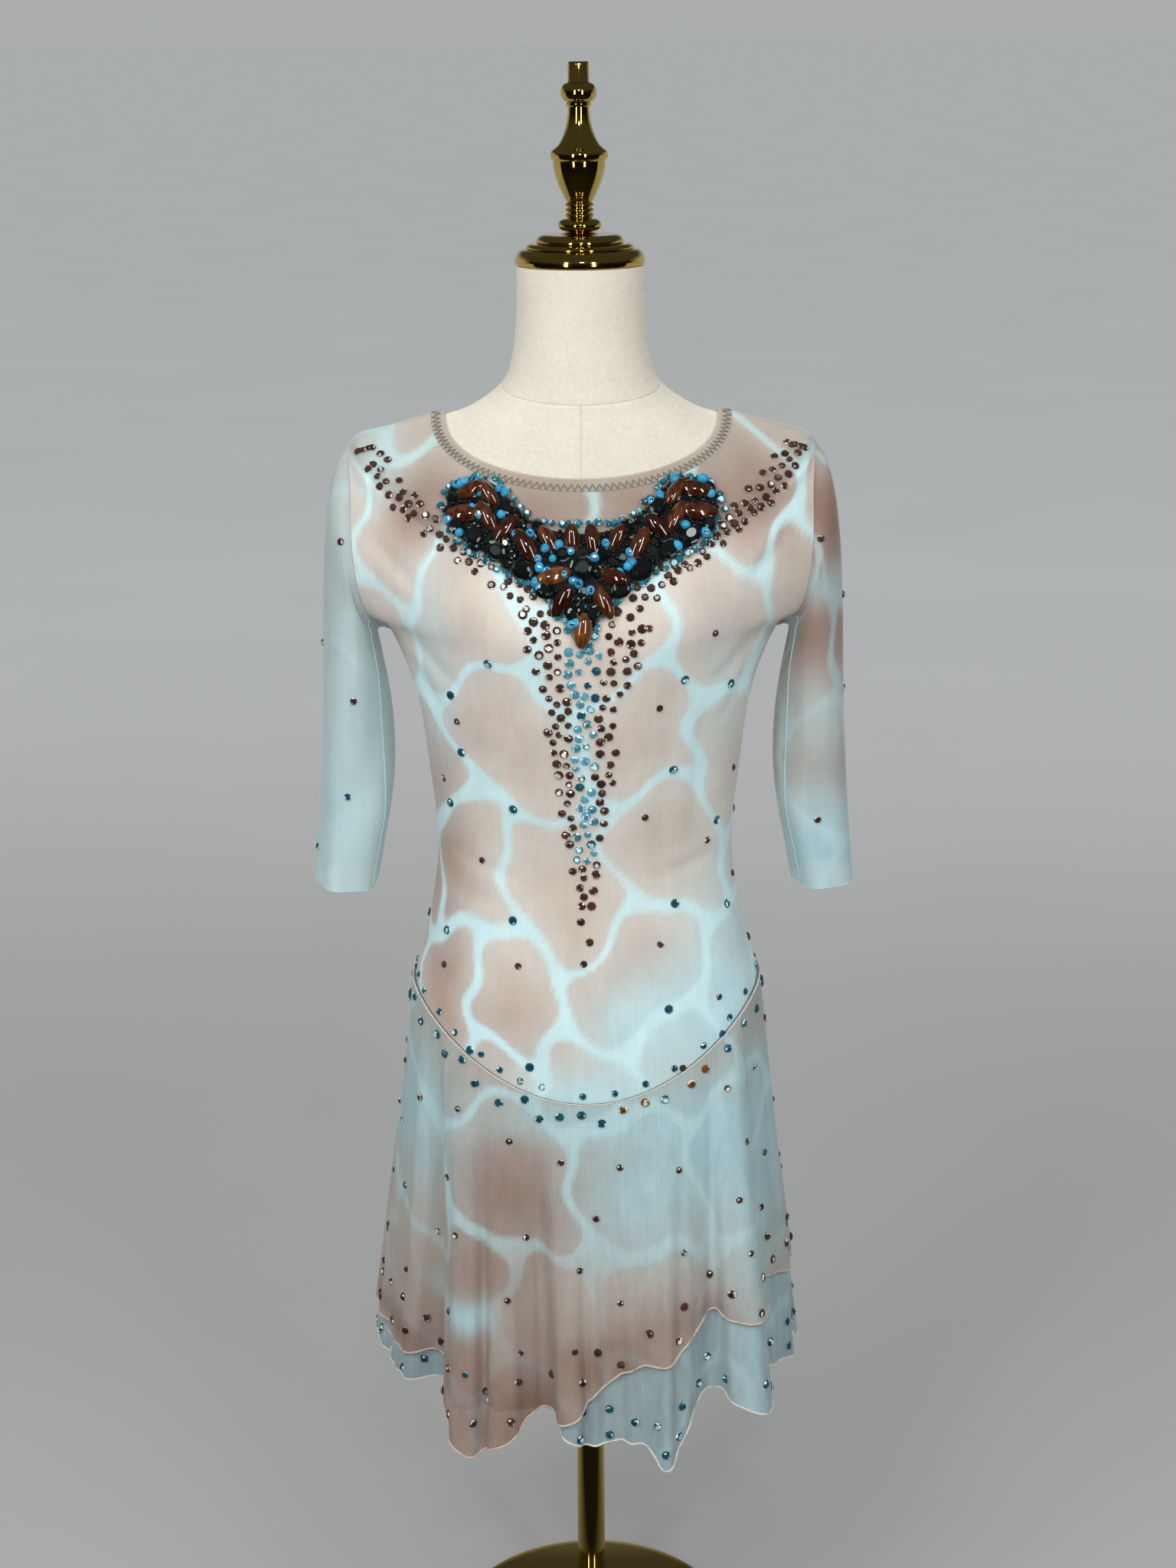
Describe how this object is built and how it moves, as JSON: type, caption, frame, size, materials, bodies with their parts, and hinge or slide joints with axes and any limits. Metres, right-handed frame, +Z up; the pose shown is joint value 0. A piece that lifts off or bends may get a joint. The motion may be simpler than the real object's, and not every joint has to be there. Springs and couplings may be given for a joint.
{
  "type": "figure skating dress on a limbless dress form with stand",
  "caption": "Short flared two-layer skating dress with elbow sleeves and a beaded collar, standing on a limbless dress form with a brass pole, round base and turned finial.",
  "frame": {"origin": "centre of the base's underside, on the surface that the stand rests on", "axes": "+Z up along the pole, -Y is the front of the dress, +X is the viewer's right"},
  "size_m": [0.457, 0.3359, 1.4194],
  "materials": {
    "bodice_mesh": "airbrushed stretch mesh over lining",
    "sleeve_mesh": "sheer airbrushed stretch mesh",
    "overskirt_mesh": "airbrushed stretch mesh with a rolled hem",
    "underskirt_mesh": "pale dyed stretch mesh with a rolled hem",
    "brown_stones": "polished brown cabochons and faceted beads",
    "turquoise_beads": "glossy opaque beads",
    "rhinestones": "faceted foil-backed crystals",
    "thread": "stitched and overlocked thread",
    "linen_cover": "plain woven cover",
    "polished_brass": "mirror polished"
  },
  "bodies": {
    "root": {"bodice_front": "bodice_mesh", "bodice_back": "bodice_mesh", "neck_band": "bodice_mesh", "neck_applique": "brown_stones", "sleeve_left": "sleeve_mesh", "sleeve_right": "sleeve_mesh", "overskirt_front": "overskirt_mesh", "overskirt_back": "overskirt_mesh", "underskirt_front": "underskirt_mesh", "underskirt_back": "underskirt_mesh", "form_torso": "linen_cover", "neck_cap": "polished_brass", "finial": "polished_brass", "pole": "polished_brass", "base_disc": "polished_brass"}
  },
  "joints": []
}
